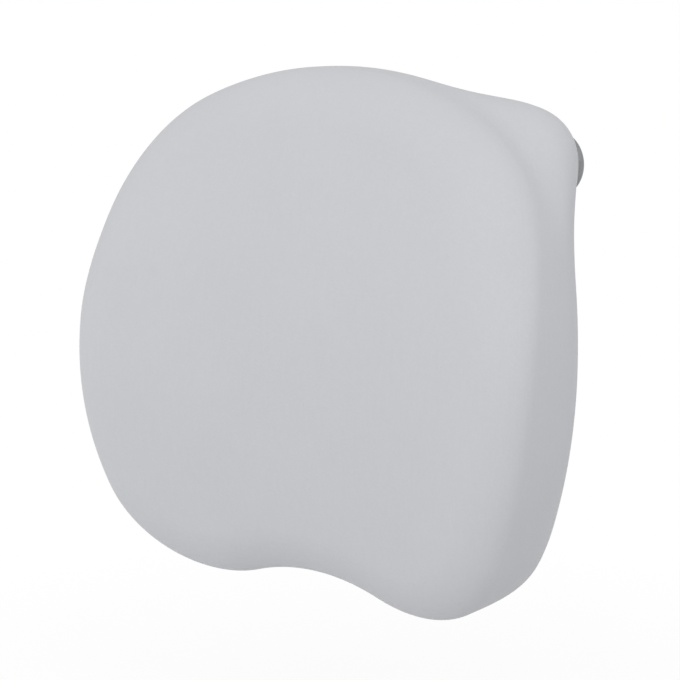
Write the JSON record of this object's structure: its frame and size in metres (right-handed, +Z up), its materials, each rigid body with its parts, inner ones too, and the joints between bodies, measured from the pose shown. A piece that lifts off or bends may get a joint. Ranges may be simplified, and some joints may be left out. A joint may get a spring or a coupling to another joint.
{
  "type": "bath pillow",
  "caption": "Soft moulded bath headrest with a dished, crowned front, rolled edge, neck notch and rear ears, held to the bath wall by sprung suction cups.",
  "frame": {"origin": "on the bath wall, in the plane of the cup lips, behind the middle of the pillow", "axes": "+Z up, +Y into the bath wall, so the head rests on the -Y side, +X to the right seen from the front"},
  "size_m": [0.2776, 0.1058, 0.2665],
  "materials": {
    "skin": "satin, fine grain, light grey soft polyurethane",
    "foam": "open soft foam",
    "plate": "matte",
    "socket": "matte",
    "cup": "glossy soft vinyl, mid grey"
  },
  "bodies": {
    "pillow": {"skin": "skin", "foam_core": "foam", "backing_plate": "plate", "socket_upper_left": "socket", "socket_upper_right": "socket", "socket_lower_left": "socket", "socket_lower_right": "socket"},
    "cup_upper_left": {"suction_cup_upper_left": "cup"},
    "cup_upper_right": {"suction_cup_upper_right": "cup"},
    "cup_lower_left": {"suction_cup_lower_left": "cup"},
    "cup_lower_right": {"suction_cup_lower_right": "cup"}
  },
  "joints": [
    {"name": "press_upper_left", "type": "slide", "parent": "pillow", "child": "cup_upper_left", "axis": [0, -1, 0], "range_m": [0, 0.004], "stiffness_N_per_m": 4000},
    {"name": "press_upper_right", "type": "slide", "parent": "pillow", "child": "cup_upper_right", "axis": [0, -1, 0], "range_m": [0, 0.004], "stiffness_N_per_m": 4000},
    {"name": "press_lower_left", "type": "slide", "parent": "pillow", "child": "cup_lower_left", "axis": [0, -1, 0], "range_m": [0, 0.004], "stiffness_N_per_m": 4000},
    {"name": "press_lower_right", "type": "slide", "parent": "pillow", "child": "cup_lower_right", "axis": [0, -1, 0], "range_m": [0, 0.004], "stiffness_N_per_m": 4000}
  ]
}
